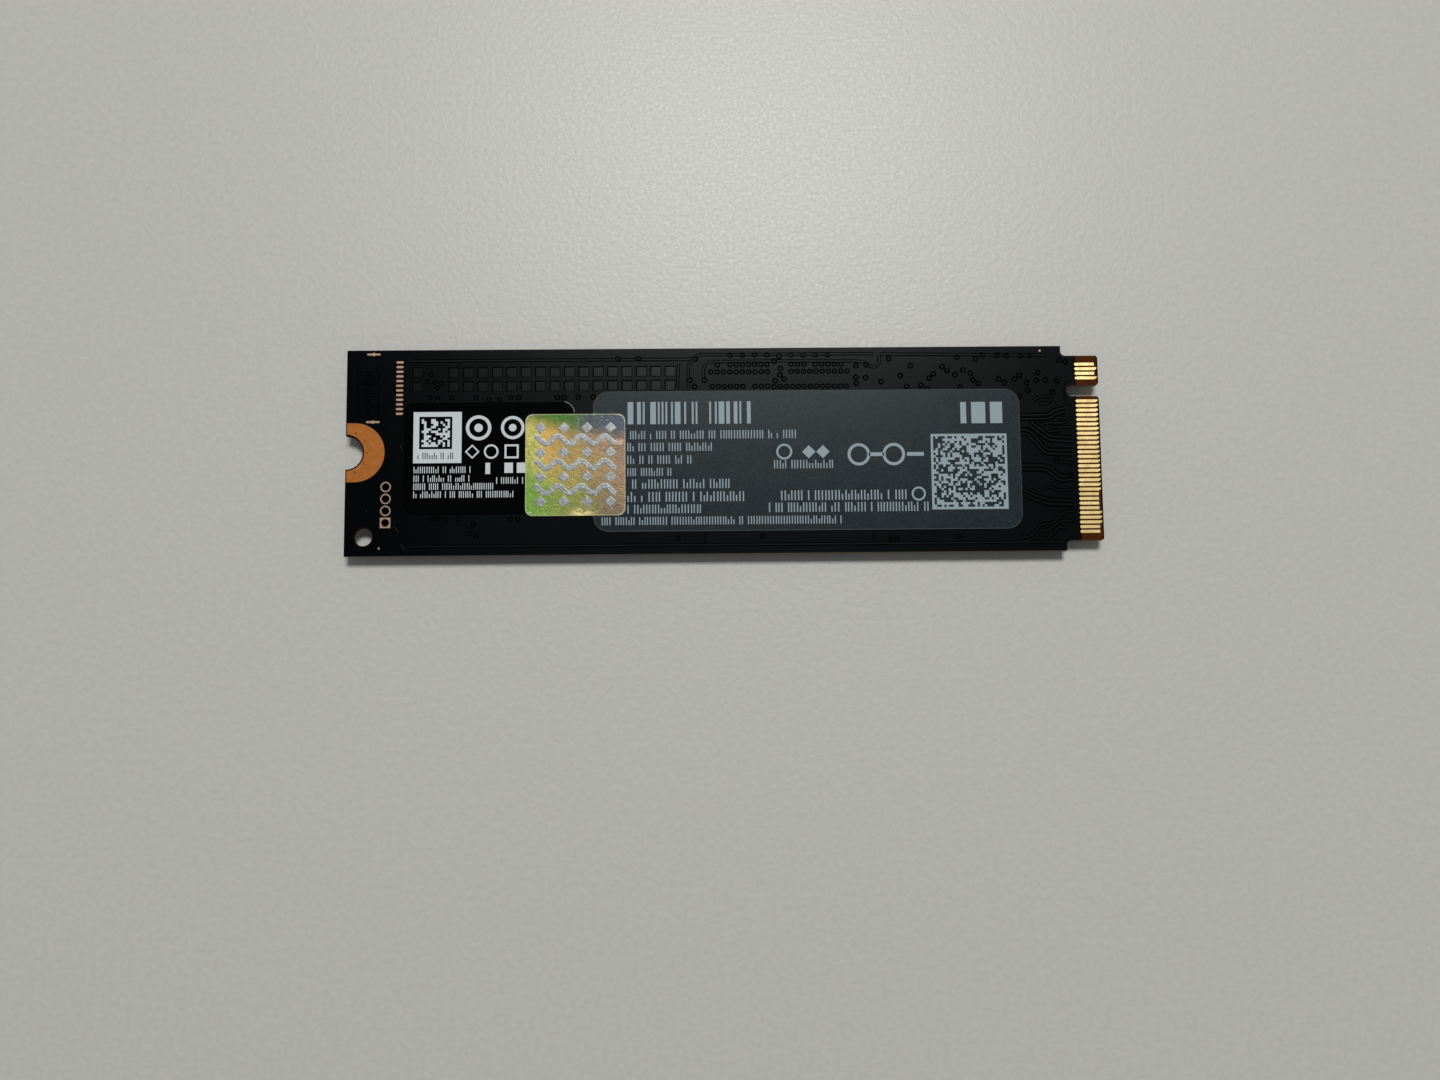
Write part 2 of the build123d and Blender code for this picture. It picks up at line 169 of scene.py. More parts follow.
def track(path, width, height, level, shift=0.0):
    """A low ridge along a path in millimetres: a four-point profile set square to the path at each point.

    The sideways direction is the mean of the two runs' normals, made longer at a corner so that the
    ridge keeps its width. shift moves the whole ridge sideways, for the second track of a pair.
    """
    path = rounded(path)
    run = np.diff(path, axis=0)
    run /= np.linalg.norm(run, axis=1, keepdims=True)
    before, after = np.vstack([run[:1], run]), np.vstack([run, run[-1:]])
    mean = before + after
    mean /= np.linalg.norm(mean, axis=1, keepdims=True)
    normal = np.stack([-mean[:, 1], mean[:, 0]], 1) / np.sum(mean * before, 1, keepdims=True)
    flat = path[:, None] + normal[:, None] * (shift + width * profile_across)[None, :, None]
    lift = np.broadcast_to(level + profile_height * height * mm, flat.shape[:2])
    points = np.concatenate([origin[:2] + mm * flat, lift[..., None]], -1)
    first = np.arange(len(path) - 1)[:, None] * 4 + np.arange(3)[None, :]
    quads = np.stack([first, first + 1, first + 5, first + 4], -1).reshape(-1, 4)
    ends = np.array([[3, 2, 1, 0], np.arange(4) + 4 * (len(path) - 1)])
    return points, [quads[:, ::-1], ends[:, ::-1]]


print("a corner cut twice has", len(rounded([(0, 0), (1, 0), (1, 1)])), "points")

# %% [markdown]
# ## Shader maths as Python
# A finish is a network of nodes, and a network typed out link by link is hard to read. So one small
# class wraps a socket: plus, minus and times add a Math node each, and one method adds any other node.
# Every finish starts from the piece's own coordinates in millimetres, so that a scale of 5 means about
# five lumps to a millimetre.

# %% A socket with arithmetic
class Signal:
    """A socket of a material. Operators add Math nodes, node() adds any other kind."""

    def __init__(self, socket):
        self.socket = socket

    def node(self, kind, settings, sockets, out=0):
        """Add a node: its settings first, then the values or links of its sockets. Returns one output."""
        tree = self.socket.id_data
        added = tree.nodes.new(kind)
        for key, value in settings.items():
            if key == "stops":
                elements = added.color_ramp.elements
                while len(elements) < len(value):
                    elements.new(1.0)
                for element, (position, colour) in zip(elements, value):
                    element.position, element.color = position, (*colour, 1.0)
            else:
                setattr(added, key, value)
        for key, value in sockets.items():
            if isinstance(value, Signal):
                tree.links.new(value.socket, added.inputs[key])
            else:
                added.inputs[key].default_value = value
        return Signal(added.outputs[out])

    def other(self, out):
        """Another output of the same node."""
        return Signal(self.socket.node.outputs[out])

    def math(self, operation, first, second=0.0):
        """A Math node on two values."""
        return self.node("ShaderNodeMath", {"operation": operation}, {0: first, 1: second})

    def sine(self):
        """The sine of this value."""
        return self.math("SINE", self)

    def __add__(self, value):
        return self.math("ADD", self, value)

    def __sub__(self, value):
        return self.math("SUBTRACT", self, value)

    def __rsub__(self, value):
        return self.math("SUBTRACT", value, self)

    def __mul__(self, value):
        return self.math("MULTIPLY", self, value)

    def __truediv__(self, value):
        return self.math("DIVIDE", self, value)

    def __pow__(self, value):
        return self.math("POWER", self, value)

    def __abs__(self):
        return self.math("ABSOLUTE", self)

    __radd__, __rmul__ = __add__, __mul__


print("signals know", sorted(name for name in vars(Signal) if name[0] != "_"))

# %% Words for patterns
def noise(place, scale, detail=2.0, harshness=0.5):
    """Soft random values from 0 to 1, with so many lumps to a millimetre."""
    inputs = {"Vector": place, "Scale": scale, "Detail": detail, "Roughness": harshness}
    return place.node("ShaderNodeTexNoise", {}, inputs)


def axes(place):
    """X, Y and Z of a place, each by itself."""
    x = place.node("ShaderNodeSeparateXYZ", {}, {0: place})
    return x, x.other(1), x.other(2)


def ease(value, low, high):
    """0 below low, 1 above high, and a smooth step between."""
    settings = {"interpolation_type": "SMOOTHSTEP"}
    return value.node("ShaderNodeMapRange", settings, {0: value, 1: low, 2: high})


def ramp(value, *stops):
    """Colours along a value."""
    return value.node("ShaderNodeValToRGB", {"stops": stops}, {0: value})


def mix(amount, first, second):
    """The first colour where the amount is 0, the second where it is 1."""
    first, second = [c if isinstance(c, Signal) else (*c, 1.0) for c in (first, second)]
    return amount.node("ShaderNodeMix", {"data_type": "RGBA"}, {0: amount, 6: first, 7: second}, out=2)


def bump(height, depth):
    """A normal from a height between 0 and 1, for a relief so many millimetres deep."""
    return height.node("ShaderNodeBump", {}, {"Height": height, "Distance": depth * mm, "Strength": 1.0})


print("patterns", [word.__name__ for word in (noise, axes, ease, ramp, mix, bump)])

# %% Words for finishes
finishes = {}


def finish(name, **plain):
    """A new material. Plain numbers go straight on its shader. Returns its place in mm and its feed."""
    material = bpy.data.materials.new(name)
    material.use_nodes = True
    shader = material.node_tree.nodes["Principled BSDF"]
    for key, value in plain.items():
        shader.inputs[key.replace("_", " ")].default_value = value
    spot = Signal(material.node_tree.nodes.new("ShaderNodeTexCoord").outputs["Object"])
    place = spot.node("ShaderNodeVectorMath", {"operation": "SCALE"}, {0: spot, "Scale": 1 / mm})
    finishes[name] = material

    def feed(**signals):
        """Link each signal to the shader's input of that name."""
        for key, signal in signals.items():
            material.node_tree.links.new(signal.socket, shader.inputs[key.replace("_", " ")])

    return place, feed


def grained(name, tones, gloss, grain, relief=None, **plain):
    """A finish of one grain: it picks between two tones, and roughness = gloss[0] + gloss[1] times it.

    grain holds its lumps to a millimetre, detail and harshness, relief the lumps and depth of a bump.
    """
    place, feed = finish(name, **plain)
    signal = noise(place, *grain)
    feed(Base_Color=ramp(signal, (0.3, tones[0]), (0.7, tones[1])), Roughness=gloss[0] + gloss[1] * signal)
    if relief:
        feed(Normal=bump(noise(place, relief[0]), relief[1]))


print("finishes so far", len(finishes))

# %% [markdown]
# ## The lacquered board
# The board's black skin is solder mask, a lacquer that is screened over the copper and baked. It is
# satin, slightly wavy like orange peel, and the copper planes below leave faint cloudy tones, which
# fade towards the notch end. A scanned picture could be laid on it, but noise in the piece's own
# coordinates has no seams and never repeats. Over copper squares and tracks the lacquer shines more,
# and at their rims it is thin, and its dark colour there is painted shade, so each of these has its
# own finish.

# %% Solder mask
notch_end = board_low.x / mm
plane_start, plane_full = notch_end + 2.0, notch_end + 15.0
peel_relief, lacquer_grain = (2.6, 0.0010), (9.0, 2.0)
place, feed = finish("solder_mask", Specular_IOR_Level=0.031)
over_plane = ease(axes(place)[0], plane_start, plane_full)
cloud = noise(place, 0.22, 3.0)
grain = noise(place, 11.0)
dark_lacquer, pale_lacquer = (0.0001, 0.0006, 0.0008), (0.0004, 0.0016, 0.0015)
feed(
    Base_Color=ramp(cloud * 0.5 + over_plane * 0.4, (0.2, dark_lacquer), (0.75, pale_lacquer)),
    Roughness=0.16 + 0.04 * over_plane + 0.05 * cloud + 0.05 * grain,
    Normal=bump(noise(place, peel_relief[0]) * 0.8 + grain * 0.2, peel_relief[1]),
)
print("planes show from", round(plane_start, 2), "to", round(plane_full, 2), "mm")

# %% Lacquer over copper, at its rims and on tracks
grained("mask_over_copper", [(0.0003, 0.0009, 0.0009), (0.0007, 0.0016, 0.0016)], (0.17, 0.05),
        lacquer_grain, peel_relief, Specular_IOR_Level=0.078)
# Lacquer at the rims of relief: its dark colour is painted shade.
grained("mask_edge_shade", [(0.0003, 0.0004, 0.0004), (0.0007, 0.0009, 0.0009)], (0.5, 0.15),
        lacquer_grain, Specular_IOR_Level=0.004)
grained("track_lacquer", [(0.0006, 0.0012, 0.0012), (0.0012, 0.0020, 0.0020)], (0.28, 0.06),
        lacquer_grain, peel_relief, Specular_IOR_Level=0.048)
print(list(finishes))

# %% [markdown]
# ## Bare laminate
# Laminate is brown resin with woven glass cloth in it. It shows on the tongue, in the holes and along
# the cut edge. It lets light through. Its colour holds painted shade, nearly black, in a strip by the
# inner ends of the fingers, where the lacquer of the other side reaches a little way below, and on the
# bevel and round the drilled rims. The cut walls are paler, partly their own tone and partly painted
# light bounced from the table. One could split the piece and give each face its own finish. Here one
# finish does it all: the way a face points tells the flat face, the bevel and the wall apart, and
# distances find the rims.

# %% Laminate
threads, layers = 14.0, 46.0
notch_rim, tooling_rim, rim_blend = 1.92, 1.1, 0.1
tooling_x, tooling_y = notch_end + 1.95, -8.95
finger_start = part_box("fingers_label_side")[0].x / mm
# Where the painted shade by the inner ends of the fingers fades out.
shade_fade_start, shade_fade_end = finger_start + 0.08, finger_start + 0.20
bevel_to_flat, wall_to_face = (0.85, 0.95), (0.35, 0.75)


def clear_of(across, along, radius):
    """0 within a radius of a place, 1 beyond: an eased step of the two squared distances' sum."""
    return ease(across * across + along * along, radius ** 2, (radius + rim_blend) ** 2)


place, feed = finish("laminate", Specular_IOR_Level=0.009)
x, y, z = axes(place)
cloth = (x * threads).sine() * (y * threads).sine() * 0.5 + 0.5
layer = (z * layers).sine() * 0.5 + 0.5
resin = noise(place, 1.4, 4.0)
upward = abs(axes(place.node("ShaderNodeNewGeometry", {}, {}, out="Normal"))[2])
# Painted shade: 0 in a strip by the inner ends of the fingers and on the bevel, 1 elsewhere.
free_of_strip_and_bevel_shade = ease(x, shade_fade_start, shade_fade_end) * ease(upward, *bevel_to_flat)
# Painted shade: 0 round the rims of the notch and the tooling hole, 1 beyond.
free_of_rim_shade = clear_of(x - notch_end, y, notch_rim) * clear_of(x - tooling_x, y - tooling_y, tooling_rim)
resin_tone = ramp(
    resin * 0.6 + cloth * 0.4, (0.25, (0.033, 0.0090, 0.0014)), (0.75, (0.060, 0.0178, 0.0036)))
# The walls' paler tone is partly their own and partly painted light bounced from the table.
wall_tone_and_bounce = ramp(
    resin * 0.5 + layer * 0.5, (0.2, (0.110, 0.0780, 0.0480)), (0.8, (0.220, 0.1600, 0.1050)))
# The dark colour here is painted shade.
face_tone = mix(free_of_strip_and_bevel_shade, (0.0050, 0.0014, 0.0004), resin_tone)
whole_tone = mix(ease(upward, *wall_to_face), wall_tone_and_bounce, face_tone)
# The dark colour at the rims is painted shade.
feed(
    Base_Color=mix(free_of_rim_shade, (0.0090, 0.0020, 0.0008), whole_tone),
    Roughness=0.42 + 0.2 * resin,
    Normal=bump(cloth * 0.5 + noise(place, 16.0) * 0.5, 0.003),
)
print("fingers start at", round(finger_start, 2), "mm")

# %% [markdown]
# ## Bare metal
# The contacts are copper plated with nickel and hard gold. The ring round the notch and the small pads
# are copper under a thin clear coat, so they are browner and a little stained. Solder and tinned ends
# are grey and soft. A mirror-like metal would be simplest, but worn plating scatters light, so these
# finishes are mostly metallic, and noise in the roughness keeps them from looking like plastic.

# %% Gold
place, feed = finish("gold", Metallic=0.68, Specular_IOR_Level=0.3)
smear = noise(place, 1.1, 3.0)
feed(
    Base_Color=ramp(smear, (0.25, (0.83, 0.60, 0.24)), (0.7, (0.99, 0.77, 0.35))),
    Roughness=0.16 + 0.08 * smear,
    Normal=bump(smear * 0.8 + noise(place, 14.0) * 0.2, 0.0008),
)
print("gold on", len(frame["nodes"]["fingers_label_side"].data.polygons), "faces of the upper side")

# %% Copper and tin
place, feed = finish("bare_copper", Metallic=0.75, Specular_IOR_Level=0.1)
stain = noise(place, 1.5, 4.0, 0.6)
grain = noise(place, 12.0)
feed(
    Base_Color=ramp(
        stain, (0.25, (0.165, 0.053, 0.009)), (0.5, (0.210, 0.073, 0.015)), (0.75, (0.250, 0.093, 0.024))),
    Roughness=0.44 + 0.14 * stain + 0.06 * grain,
    Normal=bump(grain * 0.6 + stain * 0.4, 0.002),
)

place, feed = finish("pad_copper", Metallic=0.6, Specular_IOR_Level=0.1)
stain = noise(place, 1.6)
feed(
    Base_Color=ramp(stain, (0.25, (0.180, 0.117, 0.086)), (0.75, (0.240, 0.160, 0.118))),
    Roughness=0.44 + 0.1 * stain,
    Normal=bump(stain, 0.001),
)

place, feed = finish("tinned", Metallic=0.9)
stain = noise(place, 4.0, 3.0)
feed(
    Base_Color=ramp(stain, (0.25, (0.50, 0.50, 0.48)), (0.75, (0.72, 0.72, 0.70))),
    Roughness=0.32 + 0.18 * stain,
    Normal=bump(noise(place, 18.0) * 0.5 + stain * 0.5, 0.004),
)
print(list(finishes)[-4:])

# %% [markdown]
# ## Labels and ink
# Both labels are printed polyester film. The black one is dead matt, the grey one has a soft sheen, and
# their cut edges are paler than their faces. Ink lies on the film as a layer a few thousandths of a
# millimetre thick, which is slightly uneven. Colours alone would look printed on paper, so each finish
# has its own gloss, and a fine grain that varies it.

# %% Films
grained("black_film", [(0.0003, 0.0004, 0.0004), (0.0005, 0.0007, 0.0007)], (0.35, 0.1),
        (6.0, 3.0), (1.2, 0.002), Specular_IOR_Level=0.005)

place, feed = finish("grey_film", Specular_IOR_Level=0.073)
grain = noise(place, 3.4, 4.0, 0.75)
cloud = noise(place, 0.5)
dark_grey, pale_grey = (0.0050, 0.0097, 0.0114), (0.0124, 0.0212, 0.0244)
feed(
    Base_Color=ramp(grain * 0.7 + cloud * 0.3, (0.34, dark_grey), (0.66, pale_grey)),
    Roughness=0.2 + 0.1 * grain,
    Normal=bump(noise(place, 1.0) * 0.6 + grain * 0.4, 0.003),
)
print(list(finishes)[-2:])

# %% Cut edges and inks
edge_grain, ink_grain = (3.0, 3.0, 0.7), (8.0, 3.0)
grained("film_edge", [(0.014, 0.018, 0.020), (0.034, 0.040, 0.043)], (0.35, 0.1),
        edge_grain, Specular_IOR_Level=0.1)
# A bright line at one label corner: a painted highlight.
grained("glint_edge", [(0.17, 0.18, 0.18), (0.32, 0.33, 0.33)], (0.3, 0.1),
        edge_grain, Specular_IOR_Level=0.3)
grained("white_ink", [(0.395, 0.435, 0.430), (0.465, 0.505, 0.500)], (0.5, 0.12),
        ink_grain, Specular_IOR_Level=0.08)
grained("grey_ink", [(0.200, 0.248, 0.270), (0.240, 0.292, 0.316)], (0.48, 0.12),
        ink_grain, Specular_IOR_Level=0.06)
print(list(finishes)[-4:])

# %% [markdown]
# ## The foil sticker
# The sticker is a stamped foil: very fine grooves split the light, so it shifts from green through
# yellow and orange to rose and grey. Real grooves are far too fine to model, and a shader for them
# would change with every view. So we carry a band of those colours slantwise over the foil and let
# noise bend it. The head and the foot have greener bands of their own, two stretched folds carry
# painted highlights, fine sparkles are painted highlights too, and the rim is plain and pale.

# %% Colours over the foil
def foil_axes(place):
    """Place on the foil from -1 to 1 both ways: distance from its middle over half its size."""
    middle, half = (foil_low + foil_high) / 2 / mm, (foil_high - foil_low) / 2 / mm
    x, y, _ = axes(place)
    return (x - middle.x) / half.x, (y - middle.y) / half.y


def foil_colours(place, across, along, crinkle):
    """Colour by place on the foil: a phase bent by noise picks from a band, between a head and a foot."""
    wander = noise(place, 0.16) - 0.5 + (crinkle - 0.5) * 0.5
    band = ramp(
        0.46 + across * 0.34 + along * 0.12 + wander * 0.6,
        (0.06, (0.150, 0.180, 0.040)), (0.20, (0.290, 0.256, 0.068)), (0.36, (0.285, 0.175, 0.048)),
        (0.56, (0.188, 0.135, 0.048)), (0.76, (0.165, 0.108, 0.066)), (0.95, (0.112, 0.080, 0.055)))
    side = across * 0.5 + 0.5
    head = ramp(
        side, (0.05, (0.068, 0.082, 0.017)), (0.25, (0.028, 0.086, 0.008)), (0.45, (0.037, 0.078, 0.016)),
        (0.62, (0.041, 0.051, 0.050)), (0.85, (0.041, 0.047, 0.060)))
    foot = ramp(
        side, (0.10, (0.104, 0.182, 0.030)), (0.50, (0.131, 0.140, 0.033)), (0.85, (0.112, 0.080, 0.053)))
    in_head = ease(along + across * 0.12 + wander * 0.4, 0.55, 0.90)
    in_foot = ease(0.0 - along - across * 0.3 + wander, 0.10, 0.75)
    return mix(in_foot, mix(in_head, band, head), foot)


def glints(across, along, crinkle):
    """Masks of two painted highlights on folds: one slants below the head on the right, one lies at the
    foot.
    """
    fold_glint = ease(0.09 - abs(along + across * 0.2 - 0.62), 0.0, 0.07)
    fold_glint = fold_glint * ease(across, 0.15, 0.40) * ease(crinkle, 0.40, 0.60)
    hem_glint = ease(0.0 - along + (crinkle - 0.5) * 0.5, 0.84, 0.96) * ease(0.34 - abs(across - 0.14), 0.0, 0.30)
    return fold_glint * 0.6, hem_glint * 0.8


def rounded_rim(across, along, power=14.0):
    """Distance that is 1 on the foil's edge: the high root of the sum of the two high powers."""
    return (abs(across) ** power + abs(along) ** power) ** (1 / power)


print("foil", [round(v / mm, 2) for v in foil_high - foil_low], "mm")

# %% Foil and its raised silver
place, feed = finish("foil", Metallic=0.35, Specular_IOR_Level=0.1)
across, along = foil_axes(place)
crinkle = noise(place, 1.3, 5.0, 0.65)
fibre = noise(place, 2.6, 5.0, 0.75)
colours = foil_colours(place, across, along, crinkle)
shade = {0: colours, "Scale": 0.2 + 1.6 * fibre}
shaded = colours.node("ShaderNodeVectorMath", {"operation": "SCALE"}, shade)
# Painted highlights: two glints and fine sparkles mixed into the foil's colour.
fold_glint, hem_glint = glints(across, along, crinkle)
lit = mix(hem_glint, mix(fold_glint, shaded, (0.42, 0.27, 0.20)), (0.46, 0.38, 0.16))
sparkled = mix(ease(noise(place, 4.5, 2.0, 0.7), 0.68, 0.74) * 0.8, lit, (0.60, 0.58, 0.48))
rim = ease(rounded_rim(across, along), 0.978, 0.992)
feed(
    Base_Color=mix(rim * 0.6, sparkled, (0.24, 0.25, 0.17)),
    Roughness=0.3 + 0.2 * fibre,
    Normal=bump(fibre * 0.5 + crinkle * 0.5, 0.05),
)

place, feed = finish("foil_silver", Metallic=0.45, Specular_IOR_Level=0.3)
sparkle = noise(place, 3.2, 4.0, 0.7)
feed(
    Base_Color=ramp(
        sparkle,
        (0.3, (0.075, 0.082, 0.080)), (0.55, (0.140, 0.147, 0.145)), (0.72, (0.290, 0.300, 0.290))),
    Roughness=0.28 + 0.2 * sparkle,
    Normal=bump(sparkle, 0.02),
)
print(list(finishes)[-2:])

# %% [markdown]
# ## Chips and small parts
# Under the board sit moulded packages on thin green substrates, sand-coloured ceramic capacitors, black
# resistors, grey ferrite inductors and a crystal. Moulding compound is epoxy with glass beads, so it is
# matt and finely speckled. Fired ceramics are smoother, with a slight mottle. All are one kind of
# finish with other numbers, so one function makes them.

# %% Moulding compound, substrates and ceramics
def speckled(name, dark, light, roughness, scale, depth, **plain):
    """A finish of fine specks: noise picks between two tones, roughens the surface and raises it."""
    place, feed = finish(name, **plain)
    speck = noise(place, scale, 3.0, 0.65)
    cloud = noise(place, scale / 12)
    feed(
        Base_Color=ramp(speck * 0.7 + cloud * 0.3, (0.32, dark), (0.68, light)),
        Roughness=roughness + 0.14 * speck,
        Normal=bump(speck, depth),
    )


speckled("mould", (0.0105, 0.0105, 0.0112), (0.0240, 0.0240, 0.0250), 0.5, 12.0, 0.005,
         Specular_IOR_Level=0.35)
speckled("substrate", (0.008, 0.026, 0.011), (0.020, 0.052, 0.023), 0.4, 5.0, 0.003, Specular_IOR_Level=0.4)
speckled("ferrite", (0.035, 0.035, 0.038), (0.085, 0.085, 0.090), 0.55, 9.0, 0.008, Specular_IOR_Level=0.3)
speckled("capacitor", (0.27, 0.16, 0.085), (0.39, 0.25, 0.14), 0.38, 6.0, 0.003, Specular_IOR_Level=0.45)
speckled("resistor", (0.0060, 0.0065, 0.0080), (0.0170, 0.0175, 0.0200), 0.28, 7.0, 0.002,
         Specular_IOR_Level=0.5)
speckled("crystal_ceramic", (0.25, 0.22, 0.18), (0.40, 0.36, 0.30), 0.5, 7.0, 0.003, Specular_IOR_Level=0.4)
speckled("crystal_metal", (0.52, 0.50, 0.45), (0.70, 0.68, 0.62), 0.3, 5.0, 0.002, Metallic=0.95)
print(len(finishes), "finishes")

# %% [markdown]
# ## Dress the CAD pieces
# The record says which material slot each CAD piece has, and our finishes carry the same names. One
# could dress the forty pieces by hand, but one loop gives every piece its finish, and none can be
# forgotten.

# %% Finish by slot
for part in frame["record"]["subparts"]:
    mesh = frame["nodes"][part["node"]].data
    mesh.materials.clear()
    mesh.materials.append(finishes[part["material_slot"]])

# %% [markdown]
# ## Plated holes under the lacquer
# Plated holes lead from one copper layer to the next. The mask drapes over them and turns thin at
# their rims, and its dark colour there is painted shade. On the real board that relief is some 20
# micrometres high. A bump map would do for a flat look, but real ridges catch the light from every
# side, so they are meshed: a plated hole is a collar of painted shade round a shallow plug.

# %% Places of the plated holes
def row(x0, x1, y, pitch):
    """Evenly spaced places along X at one Y."""
    x = np.arange(x0, x1 + pitch / 2, pitch)
    return np.stack([x, np.full(len(x), y)], 1)


hole_rows = np.concatenate([
    row(38.61, 44.67, 8.42, 0.673), row(47.16, 53.13, 8.43, 0.663), row(38.75, 42.0, 6.84, 0.65),
    row(43.29, 44.65, 6.84, 0.68), row(46.01, 53.03, 6.8, 0.638), row(40.66, 44.6, 9.19, 0.657),
    row(47.17, 48.53, 9.2, 0.68), row(49.74, 52.46, 9.18, 0.68), row(40.67, 44.61, 10.24, 1.313),
    row(47.18, 51.07, 10.21, 1.297),
])
loose_holes = np.array([
    (28.75, 9.9), (30.9, 9.9), (18.2, 5.8), (22.3, 5.8), (23.0, 5.8), (24.5, 5.8), (26.1, 5.8),
    (36.4, 7.55), (36.86, 6.85), (37.93, 7.53), (39.3, 9.2), (46.03, 8.77), (45.95, 8.06), (45.49, 7.45),
    (46.4, 7.59), (45.33, 6.79), (45.89, 10.07), (45.36, 9.54), (36.96, 9.83), (57.6, 9.75), (55.2, 9.1),
    (54.1, 9.0), (54.05, 7.75), (54.1, 7.1), (55.1, 7.7), (56.75, 7.25), (58.8, 7.9), (59.45, 6.7),
    (59.9, 8.95), (61.0, 6.8), (61.65, 6.45), (61.9, 7.6), (62.35, 8.05), (63.3, 8.85), (63.8, 8.4),
    (64.65, 7.95), (65.15, 6.6), (65.5, 8.45), (66.3, 8.1), (66.55, 7.4), (67.1, 7.0), (69.3, 7.45),
    (69.9, 7.05), (71.0, 7.45), (71.55, 7.85), (72.3, 7.0), (72.4, 6.2), (71.5, 5.55), (73.5, 8.1),
    (73.35, 7.25), (74.3, 7.3), (75.55, 7.2), (64.9, 9.85), (66.9, 9.65), (67.6, 10.07), (69.2, 10.04),
    (70.2, 10.02), (71.7, 9.99), (72.7, 9.97), (75.8, 9.45), (76.5, 9.25), (75.0, 6.0), (75.2, -1.15),
    (76.6, -2.95),
])
faint_holes = np.array([
    (8.9, 8.3), (8.5, 7.6), (9.3, 7.5), (10.0, 7.4), (9.6, 6.9), (8.8, 5.85), (9.6, 5.85), (11.1, 5.85),
    (13.7, 5.85), (15.1, 5.6), (16.2, 5.6), (17.4, 5.8), (9.2, -7.1), (9.85, -7.1), (10.6, -7.15),
    (11.95, -7.1), (13.5, -7.77), (13.14, -8.74), (13.8, -8.98), (17.4, -7.2), (18.2, -7.2), (35.0, -9.4),
    (43.9, -9.2), (57.4, -9.6), (58.0, -9.6), (64.6, -9.4),
])
print(len(hole_rows) + len(loose_holes) + len(faint_holes), "plated holes")

# %% Collars and plugs
row_hole, loose_hole, faint_hole = 0.62, 0.66, 0.58
collar = stack(polygon(14), (1.0, -0.004), (0.94, 0.012), (0.62, 0.016), (0.56, 0.004))
plug = stack(polygon(14), (0.6, -0.004), (0.46, 0.012))
holes = np.concatenate([
    spots(hole_rows, row_hole), spots(loose_holes, loose_hole), spots(faint_holes, faint_hole)])
# Collars in painted shade.
add_piece("hole_collars", [stamp(collar, holes, lacquer_top)], finishes["mask_edge_shade"])
add_piece("hole_plugs", [stamp(plug, holes, lacquer_top)], finishes["solder_mask"])

# %% [markdown]
# ## Copper squares
# Two rows of copper squares lie under the lacquer, and beside the notch a few more show only as faint
# outlines of painted shade. Each could be a bare step in the mask, but the lacquer runs down its sides,
# and the dark line there is painted shade. So a square is a low skirt of painted shade with a lacquered
# tile on top, set a little off centre, because the shade is wider on one side.

# %% Skirts and tiles
square_columns, square_pitch, last_column = 16, 1.53, 34.3
tile_size, skirt_size, faint_size = 1.12, 1.14, 1.1
skirt_offset = (-0.035, 0.035)
columns = last_column - square_pitch * np.arange(square_columns)
squares = np.concatenate([
    *[np.stack([columns, np.full(square_columns, y)], 1) for y in (8.52, 7.0)], [(7.5, 8.55), (7.5, 7.0)]])
faint_squares = np.array([(x, y) for x in (1.66, 2.9) for y in (8.23, 6.85, 5.55, 4.35)])
skirt = stack(square, (1.0, -0.004), (1.0, 0.004), (0.97, 0.007))
tile = stack(square, (0.86, -0.002), (0.85, 0.012))
outline = stack(square, (1.0, -0.004), (0.98, 0.004), (0.82, 0.004), (0.8, -0.004))
# Skirts and faint outlines in painted shade.
add_piece("square_skirts", [
    stamp(skirt, spots(squares + skirt_offset, skirt_size), lacquer_top),
    stamp(outline, spots(faint_squares, faint_size), lacquer_top),
], finishes["mask_edge_shade"])
add_piece(
    "square_tiles", [stamp(tile, spots(squares, tile_size), lacquer_top)],
    finishes["mask_over_copper"])

# %% [markdown]
# ## Copper tracks
# Tracks carry the signals, many of them in pairs that run side by side to the contacts. Under the
# lacquer each is a soft ridge with a dark line of painted shade along both sides. A curve with a bevel
# could draw them, but it would need a cut at the board's face, so a low four-point profile is carried
# along each path instead: wide soft ones for the crests, thin ones of painted shade for the rims.

